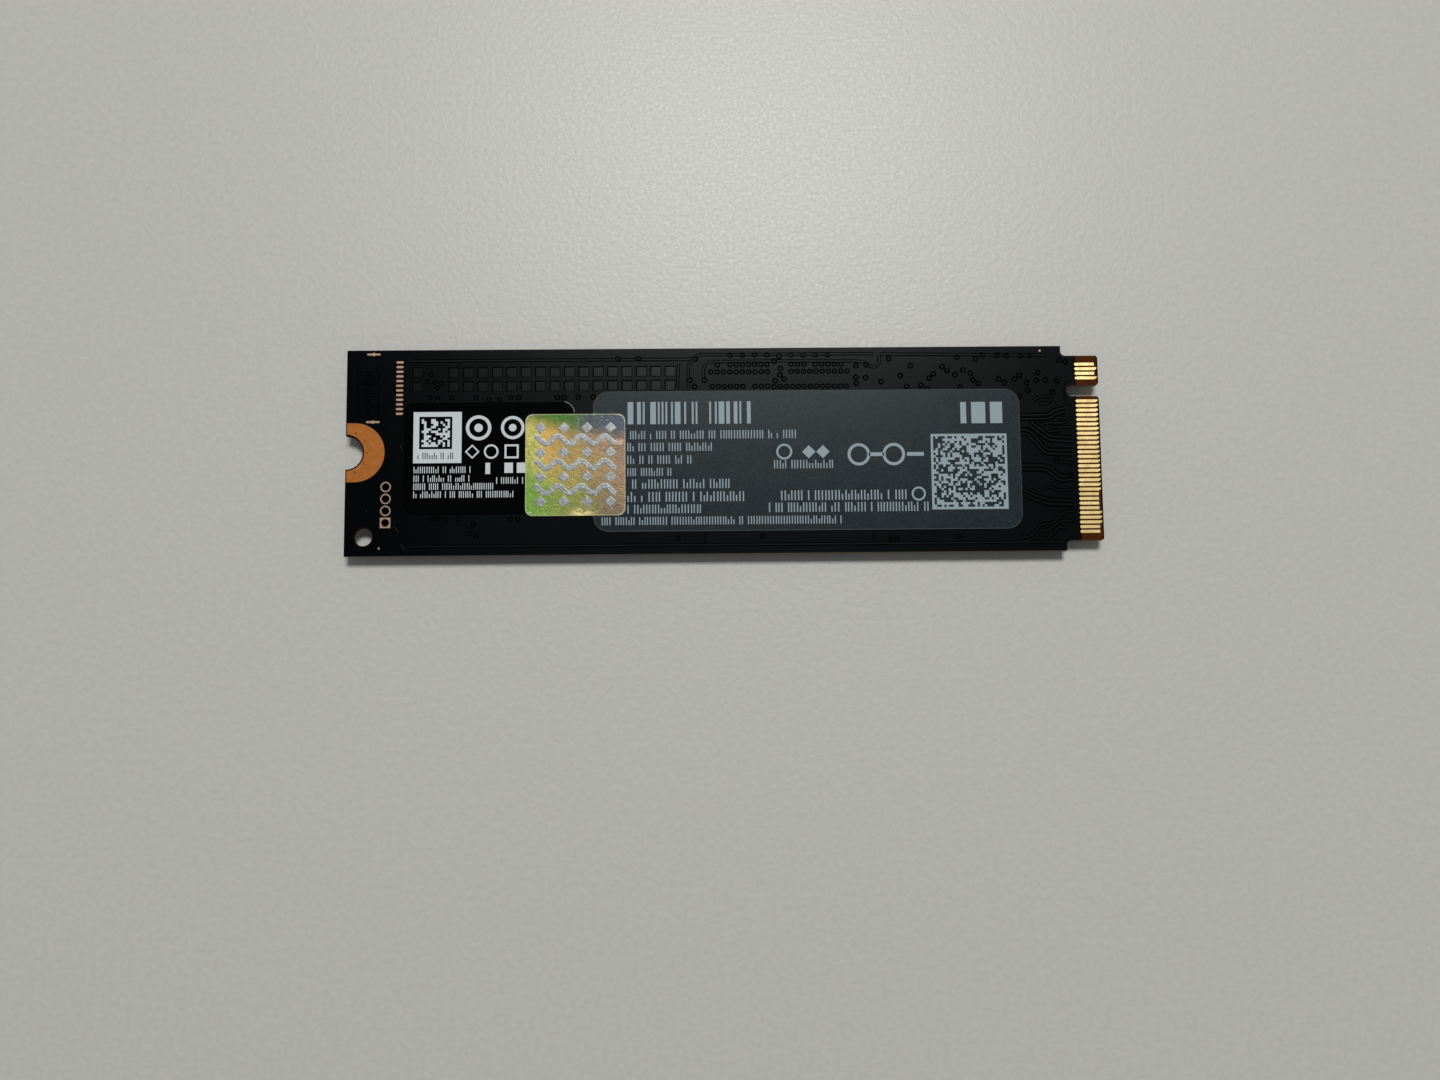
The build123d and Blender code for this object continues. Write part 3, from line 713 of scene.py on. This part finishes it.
# %% Paths of the tracks
long_tracks = [
    [(6.8, 9.82), (36.0, 9.82), (36.9, 9.9), (37.3, 10.3), (40.0, 10.3), (56.0, 10.3)],
    [(36.2, 6.5), (36.2, 9.3), (36.9, 9.85)],
    [(37.8, 7.2), (37.8, 9.0), (38.4, 9.55), (45.0, 9.58), (54.6, 9.5), (55.3, 9.1), (56.1, 8.75),
     (56.6, 9.2), (56.6, 10.2)],
    [(56.6, 10.25), (64.35, 10.16), (69.6, 10.06), (74.5, 10.0)],
    [(6.5, -10.05), (40.0, -10.1), (75.2, -10.1)],
    [(35.0, 6.6), (35.2, 9.4)],
]
fine_tracks = [
    [(72.8, 4.99), (73.47, 5.44), (74.36, 5.47), (74.59, 5.88)],
    [(73.46, 4.57), (73.64, 4.77), (74.44, 4.78), (74.85, 5.19), (74.99, 5.6)],
    [(73.5, 2.44), (74.12, 2.63), (76.25, 2.64), (76.7, 3.14), (77.0, 3.41)],
    [(74.56, 2.2), (76.9, 2.18)],
    [(74.55, 1.74), (75.55, 1.76), (75.85, 1.95)],
    [(74.92, -1.25), (75.35, -1.6), (76.59, -1.62), (76.95, -2.0)],
    [(75.42, 3.2), (76.26, 3.19)],
    [(74.04, -4.34), (74.31, -4.18), (75.36, -4.63), (76.06, -4.61), (76.9, -4.51)],
    [(71.28, -9.55), (72.12, -9.56), (73.4, -8.16), (74.63, -8.17), (75.91, -6.82), (76.9, -6.83)],
    [(71.13, -10.0), (72.2, -9.92), (73.38, -8.8), (74.17, -8.8), (75.44, -7.81), (76.84, -7.81)],
    [(73.95, -9.75), (75.24, -8.49), (76.03, -8.55)],
    [(74.16, -6.5), (75.04, -6.5)],
]
pairs = [
    [(71.39, 3.31), (74.46, 3.29), (75.29, 3.86), (76.29, 4.06)],
    [(71.36, 1.73), (72.27, 1.72), (74.12, -0.45), (76.9, -0.52)],
    [(72.47, 2.66), (74.46, 1.02), (76.9, 0.84)],
    [(71.49, -2.1), (74.16, -2.14), (75.5, -3.36), (76.9, -3.23)],
    [(71.46, -4.63), (72.28, -5.13), (74.06, -5.82), (76.9, -5.92)],
]
plane_gaps = [
    [(37.87, -8.7), (37.86, -10.0)],
    [(55.6, -8.8), (55.58, -10.0)],
    [(77.0, 7.25), (76.77, 7.16), (76.28, 6.86), (76.25, 5.17), (76.75, 4.5), (77.0, 4.5)],
]
print(len(long_tracks) + len(fine_tracks) + 2 * len(pairs), "tracks")

# %% Crests and rims
track_level = lacquer_top - 0.002 * mm
pair_half, pair_side, track_side = 0.22, 0.4, 0.14
both_sides = (-track_side, track_side)


def ridges(paths, width, height, shifts=(0.0,)):
    """A ridge along each path for each sideways shift from its middle."""
    return [track(path, width, height, track_level, shift) for path in paths for shift in shifts]


crests = ridges(long_tracks, width=0.18, height=0.014)
crests += ridges(pairs, width=0.16, height=0.014, shifts=(-pair_half, pair_half))
crests += ridges(fine_tracks, width=0.15, height=0.013)
# Rims in painted shade along the tracks and the gaps between planes.
rims = ridges(long_tracks, width=0.1, height=0.006, shifts=both_sides)
rims += ridges(pairs, width=0.18, height=0.006, shifts=(-pair_side, 0.0, pair_side))
rims += ridges(fine_tracks, width=0.14, height=0.005, shifts=both_sides)
rims += ridges(plane_gaps, width=0.12, height=0.006)
add_piece("track_crests", crests, finishes["track_lacquer"])
add_piece("track_rims", rims, finishes["mask_edge_shade"])

# %% [markdown]
# ## The ring round the notch
# Five plated holes stitch the copper ring to the planes below. They are filled flush and show as small
# darker dots on a half circle. Drawn in the ring's finish they would have no edge, so each is a very
# flat disc with a finish of its own.

# %% Stitching holes in the copper ring
dot_circle, dot_size = 2.3, 0.2
turn = np.radians([-64, -32, 0, 32, 64])
dots = spots(dot_circle * np.stack([np.cos(turn), np.sin(turn)], 1), dot_size)
dot = stack(polygon(12), (1.0, -0.003), (0.9, 0.003))
grained("copper_stain", [(0.085, 0.030, 0.006), (0.125, 0.047, 0.010)], (0.5, 0.2), (6.0, 3.0),
        Metallic=0.3, Specular_IOR_Level=0.05)
copper_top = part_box("mount_pad_label_side")[1].z
copper_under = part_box("mount_pad_chip_side")[0].z
add_piece(
    "ring_dots", [stamp(dot, dots, copper_top), stamp(dot, dots, copper_under, side=-1)],
    finishes["copper_stain"])

# %% [markdown]
# ## The header holes
# Four plated holes wait for a header that was never fitted. The tooling hole beside them shows the bright
# table below, but these stay dark. A dark finish inside the barrels would not stop the light, so a thin
# dark disc lies low in each: a dark sheet of painted shade.

# %% Discs in the header holes
header_count, header_pitch, disc_size = 4, 1.27, 0.82
disc_lift, disc_thickness = 0.06, 0.03
pin_low, pin_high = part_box("header_barrel_square")
pin_x = ((pin_low.x + pin_high.x) / 2 - origin[0]) / mm
pin_y = ((pin_low.y + pin_high.y) / 2 - origin[1]) / mm
header = np.stack([np.full(header_count, pin_x), pin_y + header_pitch * np.arange(header_count)], 1)
# Dark discs of painted shade in the header holes.
shade_disc = stack(polygon(24), (1.0, 0.0), (1.0, disc_thickness))
add_piece(
    "header_shade_discs", [stamp(shade_disc, spots(header, disc_size), lacquer_under + disc_lift * mm)],
    finishes["mask_edge_shade"])

# %% [markdown]
# ## Cut edges and scuffs
# A label is cut with a steel rule, which leaves a thin pale line of bare film along its edge. It shows all
# round the grey label. At one corner of the black label a thin painted highlight stands for the glint of
# its edge. The board has a few fine scratches near the header, and three specks of dust. A pattern in
# the finish could draw them, but only at one depth, so each is a ridge or dot far thinner than a hair.

# %% Label edges
grey_corner, black_corner = 1.6, 1.25
edge_width, edge_height, edge_inset, glint_height = 0.08, 0.003, 0.04, 0.012


def label_arc(node, right, top, corner, inset, start, end):
    """An arc round one corner of a label, inset from its edge: the corner's centre comes from the CAD box.

    Point = centre + (corner - inset) along equal steps of the turn, from start to end degrees.
    """
    low, high = [(np.array(point)[:2] - origin[:2]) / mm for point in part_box(node)]
    centre = [high[0] - corner if right else low[0] + corner, high[1] - corner if top else low[1] + corner]
    turn = np.radians(np.linspace(start, end, 8))
    return np.array(centre) + (corner - inset) * np.stack([np.cos(turn), np.sin(turn)], 1)


quarters = [(True, True, 90, 0), (True, False, 0, -90), (False, False, -90, -180), (False, True, 180, 90)]
grey_rim = np.concatenate([
    label_arc("grey_label", right, top, grey_corner, edge_inset, start, end)
    for right, top, start, end in quarters])
grey_rim = np.concatenate([grey_rim, grey_rim[:1]])
add_piece(
    "grey_label_edge", [track(grey_rim, edge_width, edge_height, grey_top)],
    finishes["film_edge"])
# A painted highlight along the black label's corner.
glint_arc = label_arc("black_label", True, True, black_corner, inset=-0.01, start=80, end=5)
add_piece(
    "black_label_glint", [track(glint_arc, edge_width, glint_height, black_top - glint_height * mm)],
    finishes["glint_edge"])

# %% Scratches and dust
scratch_width, dust_size = 0.036, 0.09
scratches = [[(5.2, -7.89), (5.67, -8.45)], [(5.89, -9.77), (6.37, -10.32)], [(5.74, 0.79), (5.98, 0.23)]]
board_dust, label_dust = [(9.65, 5.49), (2.29, -6.27)], [(15.17, 5.09)]
speck_dot = stack(polygon(8), (1.0, -0.002), (0.7, 0.008))
add_piece("scuffs", [
    *[track(path, scratch_width, 0.004, lacquer_top - 0.001 * mm) for path in scratches],
    stamp(speck_dot, spots(board_dust, dust_size), lacquer_top),
    stamp(speck_dot, spots(label_dust, dust_size), black_top),
], finishes["film_edge"])

# %% [markdown]
# ## Print on the labels
# The print on a drive's labels is a layer of ink. Ours is plain: lines of upright bars in the rhythm of
# words, simple rings and blocks, and square fields of random modules. A picture could hold it all, but
# here it is ink with a real thickness, stamped from one bar, one ring and one square, and a seeded
# generator keeps it the same on every run.

# %% Ink shapes and lines of print
seed = np.random.default_rng(2280)
ink_foot, ink_top = -0.003, 0.008
flat_ink = (1.0, ink_foot), (1.0, ink_top)
ink = stack(square, *flat_ink)
disc = stack(polygon(28), *flat_ink)
ring_mark = stack(polygon(28), *flat_ink, (0.74, ink_top), (0.74, ink_foot))
frame_mark = stack(square, *flat_ink, (0.72, ink_top), (0.72, ink_foot))
narrowest, usual_step, widest, word_gap = 0.29, 0.3, 0.37, 0.4
words_share, tall_share, short_bar = 0.13, 0.82, 0.62


def print_line(x0, x1, y0, y1, stroke=0.13):
    """Upright bars between two X and two Y, in shares of their height.

    X = the sum of random steps, with a wider one between words. A few bars are shorter than the rest.
    """
    tall = y1 - y0
    count = int((x1 - x0) / (usual_step * tall)) + 1
    step = seed.uniform(narrowest, widest, count) * tall
    step += (seed.random(count) < words_share) * word_gap * tall
    x = x0 + np.cumsum(step) - step[0] + stroke * tall / 2
    share = np.where(seed.random(count) < tall_share, 1.0, short_bar)
    bars = [x, y0 + tall * share / 2, np.full(count, stroke * tall), share * tall, np.zeros(count)]
    return np.stack(bars, 1)[x < x1]


print("one line of print has", len(print_line(0, 10, 0, 1)), "bars")

# %% Stripes and code fields
def stripes(x0, x1, y0, y1, unit, count=60):
    """A field of full-height stripes: widths and gaps of one, two or three units, laid side by side."""
    wide = seed.choice([1, 1, 2, 3], (count, 2), p=[0.3, 0.2, 0.3, 0.2]) * unit
    left = x0 + np.cumsum(wide.sum(1)) - wide.sum(1)
    middle, tall = np.full(count, (y0 + y1) / 2), np.full(count, y1 - y0)
    bars = np.stack([left + wide[:, 0] / 2, middle, wide[:, 0], tall, np.zeros(count)], 1)
    return bars[left + wide[:, 0] < x1]


def code_field(x0, y0, modules, pitch, share=0.5):
    """A square of modules on a grid: all at the rim, and those whose random number is under the share."""
    cell = (np.arange(modules) + 0.5) * pitch
    grid = np.stack(np.meshgrid(x0 + cell, y0 + cell, indexing="ij"), -1).reshape(-1, 2)
    centre = np.array([x0, y0]) + modules * pitch / 2
    rim = (np.abs(grid - centre) > (modules / 2 - 1) * pitch).any(1)
    return spots(grid[(seed.random(len(grid)) < share) | rim], pitch)


print("ink is", round(ink_top - ink_foot, 3), "mm thick")

# %% Print on the black label
white_spans = [
    (7.2, 13.3, -2.27, -1.57), (7.2, 13.2, -3.2, -2.5), (7.2, 15.75, -4.05, -3.35), (7.2, 18.0, -4.9, -4.2),
    (15.9, 18.8, -3.45, -2.75),
]
white_lines = [print_line(*span) for span in white_spans]
white_blocks = [
    (9.675, 1.54, 5.09, 5.48, 0), (17.2, -1.75, 0.9, 1.1, 0), (15.0, -1.8, 0.5, 1.2, 0),
    (18.5, -1.75, 0.9, 1.1, 0),
]
white_rings = [(14.0, 2.55, 2.7, 2.7, 0), (17.6, 2.55, 2.5, 2.5, 0), (15.35, 0.0, 1.55, 1.55, 0)]
white_frames = [(13.35, 0.0, 1.1, 1.1, 45), (17.5, 0.0, 1.5, 1.5, 0)]
white_discs = [(14.0, 2.55, 0.9, 0.9, 0), (17.6, 2.55, 0.8, 0.8, 0)]
add_piece("black_label_print", [
    stamp(ink, np.concatenate([*white_lines, white_blocks]), black_top),
    stamp(ring_mark, white_rings, black_top), stamp(frame_mark, white_frames, black_top),
    stamp(disc, white_discs, black_top),
], finishes["white_ink"])
over_white = stack(square, (1.0, 0.004), (1.0, 0.013))
code = code_field(7.75, 0.3, modules=14, pitch=0.248)
code_line = print_line(7.6, 11.3, -0.78, -0.08)
add_piece(
    "black_label_code", [stamp(over_white, np.concatenate([code, code_line]), black_top)],
    finishes["black_film"])

# %% Print on the grey label
grey_spans = [
    (30.0, 47.7, 1.2, 2.1), (29.7, 38.8, -0.1, 0.8), (29.7, 36.5, -1.45, -0.55), (29.7, 34.3, -2.75, -1.9),
    (30.2, 40.5, -4.1, -3.1), (29.7, 42.1, -5.5, -4.45), (29.7, 37.8, -6.75, -5.8),
    (27.0, 52.3, -7.95, -7.1), (45.9, 59.2, -5.45, -4.4), (44.6, 61.4, -6.7, -5.7),
    (45.2, 51.4, -2.05, -1.15),
]
grey_lines = [print_line(*span) for span in grey_spans]
title = [stripes(29.75, 37.4, 2.8, 5.2, unit=0.2), stripes(38.4, 43.7, 2.8, 5.2, unit=0.2)]
grey_blocks = [
    (65.4, 3.8, 0.62, 2.3, 0), (67.0, 3.8, 1.5, 2.3, 0), (68.9, 3.8, 1.3, 2.3, 0),
    (50.4, -0.28, 1.0, 1.0, 45), (48.9, -0.28, 1.0, 1.0, 45), (56.05, -0.6, 1.6, 0.4, 0),
    (60.2, -0.6, 1.8, 0.4, 0),
]
grey_rings = [
    (46.3, -0.25, 1.7, 1.7, 0), (60.45, -4.85, 1.5, 1.5, 0), (57.9, -0.6, 2.4, 2.4, 0),
    (54.2, -0.6, 2.4, 2.4, 0),
]
big_code = code_field(61.85, -6.55, modules=32, pitch=0.2525)
add_piece("grey_label_print", [
    stamp(ink, np.concatenate([*grey_lines, *title, grey_blocks, big_code]), grey_top),
    stamp(ring_mark, grey_rings, grey_top),
], finishes["grey_ink"])

# %% [markdown]
# ## Stamped pattern on the foil
# The foil is pressed with a raised pattern that shines silver. Ours is made of waves that run across the
# sticker, with rows of lozenges between them. A bump would vanish at a low angle, so they are raised
# for real. The sticker sags a little between the two labels, and the pattern follows the same dip.

# %% The foil's dip
foil_thickness, dip_slope = 0.06 * mm, 0.6 * mm
black_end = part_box("black_label")[1].x
grey_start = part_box("grey_label")[0].x
sag = foil_high.z - foil_low.z - foil_thickness


def foil_dip(x):
    """How far the foil sinks at X: a straight slope down from one label, flat, and up to the other."""
    bends = [black_end, black_end + dip_slope, grey_start - dip_slope, grey_start]
    return np.interp(x, bends, [0.0, -sag, -sag, 0.0])


print("the foil sinks", round(sag / mm, 3), "mm")

# %% Waves and lozenges
wave_width, wave_height, wave_swing, wave_pace, wave_gap = 0.62, 0.009, 0.42, 2.55, 2.65
lozenge_size = 0.95
centre_x, centre_y = ((np.array(foil_low) + np.array(foil_high)) / 2 - origin)[:2] / mm
swing = np.linspace(-4.3, 4.3, 60)


def wave(offset):
    """A raised wave across the foil: Y swings as a sine of X, three and a half times from side to side."""
    path = np.stack([centre_x + swing, centre_y + offset + wave_swing * np.sin(swing * wave_pace)], 1)
    points, faces = track(path, wave_width, wave_height, foil_high.z - 0.002 * mm)
    points[..., 2] += foil_dip(points[..., 0])
    return points, faces


lozenge_x, lozenge_y = (-3.7, -1.23, 1.23, 3.7), (-3.95, -1.3, 1.3, 3.95)
lozenges = [(centre_x + x, centre_y + y) for y in lozenge_y for x in lozenge_x]
low_square = stack(square, (1.0, -0.004), (0.85, 0.007), (0.4, 0.009))
add_piece("foil_pattern", [
    wave(-wave_gap), wave(0.0), wave(wave_gap),
    stamp(low_square, spots(lozenges, lozenge_size, turn=45.0), foil_high.z, rise=foil_dip),
], finishes["foil_silver"])

# %% [markdown]
# ## Solder under the board
# Every small part on the chip side stands in solder that has crept up its metal ends in a hollow curve.
# One could model each by hand, but the CAD model gives each end as a plain box, eight corners three
# times over, so its mesh can be cut into blocks of 24 corners. From each block we read where the end
# is and pour a small fillet round it.

# %% Fillets at the metal ends
fillet_reach = np.array([1.0, 0.62, 0.34, 0.14, 0.0])
fillet_climb = np.array([0.0, 0.12, 0.3, 0.6, 1.0])


def end_boxes(node):
    """Lowest and highest corner of each box in a node: the least and most of its corners, 24 to a box."""
    mesh = frame["nodes"][node].data
    points = np.empty(len(mesh.vertices) * 3)
    mesh.vertices.foreach_get("co", points)
    blocks = points.reshape(-1, 24, 3)
    return blocks.min(1), blocks.max(1)


def fillets(node, climb, spread):
    """Skirts round box ends: outlines shrink from box plus spread to the box, fast and then slowly."""
    low, high = end_boxes(node)
    size = (high - low)[:, :2] / mm
    middle = ((high + low)[:, :2] / 2 - origin[:2]) / mm
    heights = climb * ((high - low)[0, 2] / mm) * fillet_climb
    blocks = []
    for length, width in np.unique(size.round(3), axis=0):
        own = (np.abs(size - (length, width)) < 0.002).all(1)
        grown = 1 + 2 * spread * fillet_reach[:, None] / np.array([length, width])
        levels = [stack(square * scale, (1.0, height)) for scale, height in zip(grown, heights)]
        ends = spots(middle[own], length, width)
        blocks.append(stamp(np.concatenate(levels), ends, lacquer_under + 0.001 * mm, side=-1))
    return blocks


solder = fillets("bypass_capacitor_ends", climb=0.55, spread=0.14)
solder += fillets("resistor_ends", climb=0.6, spread=0.13)
solder += fillets("bulk_capacitor_ends", climb=0.5, spread=0.2)
add_piece("solder_fillets", solder, finishes["tinned"])

# %% [markdown]
# ## Plated holes on the chip side
# The chip side has plated holes too, wherever there is room between the parts. Their places could be
# typed in, but it is quicker to scatter many and keep those that lie clear of every part and of one
# another.

# %% Scattered holes
tries, hole_gap, big_margin, small_margin = 420, 0.8, 0.5, 0.55
scatter = seed.uniform((6.5, -10.0), (74.0, 10.0), (tries, 2))
big_ends = ("_substrate", "inductor_1", "inductor_2", "inductor_3", "inductor_4", "_body", "_base")
big_boxes = np.array([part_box(node) for node in frame["nodes"] if node.endswith(big_ends)])
small_parts = ("bypass_capacitor", "resistor", "bulk_capacitor")


def near(low, high, margin):
    """True for each scattered place that falls in one of the boxes, grown by a margin in millimetres."""
    place = (origin[:2] + mm * scatter)[:, None]
    inside = (place > low[:, :2] - margin * mm) & (place < high[:, :2] + margin * mm)
    return inside.all(2).any(1)


clear = ~near(big_boxes[:, 0], big_boxes[:, 1], big_margin)
for node in [part + kind for part in small_parts for kind in ("_ends", "_bodies")]:
    clear &= ~near(*end_boxes(node), small_margin)
earlier = np.tri(tries, k=-1, dtype=bool)
apart = np.where(earlier, np.linalg.norm(scatter[:, None] - scatter[None], axis=2), np.inf)
under_holes = spots(scatter[clear & (apart.min(1) > hole_gap)], row_hole)
# Collars in painted shade on the chip side too.
add_piece(
    "chip_side_collars", [stamp(collar, under_holes, lacquer_under, side=-1)],
    finishes["mask_edge_shade"])
add_piece(
    "chip_side_plugs", [stamp(plug, under_holes, lacquer_under, side=-1)],
    finishes["solder_mask"])

# %% [markdown]
# ## Table, light and camera
# The drive lies on a pale table top with a fine grit, which is not part of it. The light is soft: one
# broad lamp from beyond the +Y edge throws the short shadow and gives the lacquer its sheen, and the
# world fills in the rest. More lamps would light more evenly, but one keeps the shadow single. The
# camera looks from nearly straight above and leans slightly.

# %% Table
place, feed = finish("table", Specular_IOR_Level=0.18)
fleck = noise(place, 1.6, 3.0)
grit = noise(place, 2.8, 3.0, 0.65)
feed(
    Base_Color=ramp(fleck, (0.3, (0.374, 0.370, 0.343)), (0.7, (0.400, 0.395, 0.367))),
    Roughness=0.16 + 0.08 * fleck + 0.32 * grit,
    Normal=bump(fleck, 0.03),
)
table_width, table_drop = 3.0, 1e-5
table = bpy.data.meshes.new("table")
table.from_pydata(np.c_[table_width * square, np.full(4, -table_drop)].tolist(), [], [(0, 1, 2, 3)])
table.materials.append(finishes["table"])
table_top = bpy.data.objects.new("table", table)
bpy.context.scene.collection.objects.link(table_top)
print("table", table_width, "m wide")

# %% Lamp and world
key_place, key_width, key_height, key_power = Vector((0.045, 0.427, 1.0)), 0.307, 0.209, 11.0
sky_colour, sky_strength = (0.96, 0.98, 1.0, 1.0), 0.28
light = bpy.data.lights.new("key", "AREA")
light.shape, light.size, light.size_y, light.energy = "RECTANGLE", key_width, key_height, key_power
key = bpy.data.objects.new("key", light)
key.location = key_place
key.rotation_euler = (-key_place).to_track_quat("-Z", "Y").to_euler()
bpy.context.scene.collection.objects.link(key)
world = bpy.data.worlds.new("world")
world.use_nodes = True
sky = world.node_tree.nodes["Background"]
sky.inputs["Color"].default_value = sky_colour
sky.inputs["Strength"].default_value = sky_strength
bpy.context.scene.world = world
bpy.context.scene.view_settings.view_transform = "Standard"

# %% Camera
from_notch_end, lean = np.array([37.238, -27.714, 156.612]), (0.1153, -0.0127, -0.0100)
view = bpy.data.cameras.new("view")
view.sensor_fit, view.sensor_width, view.lens = "HORIZONTAL", 36.0, 37.5
view.clip_start, view.clip_end = 0.001, 10.0
camera = bpy.data.objects.new("view", view)
camera.location = origin + mm * from_notch_end + np.array([0.0, 0.0, lacquer_top])
camera.rotation_euler = lean
bpy.context.scene.collection.objects.link(camera)
bpy.context.scene.camera = camera
print("camera at", [round(v / mm, 1) for v in camera.location])

# %% [markdown]
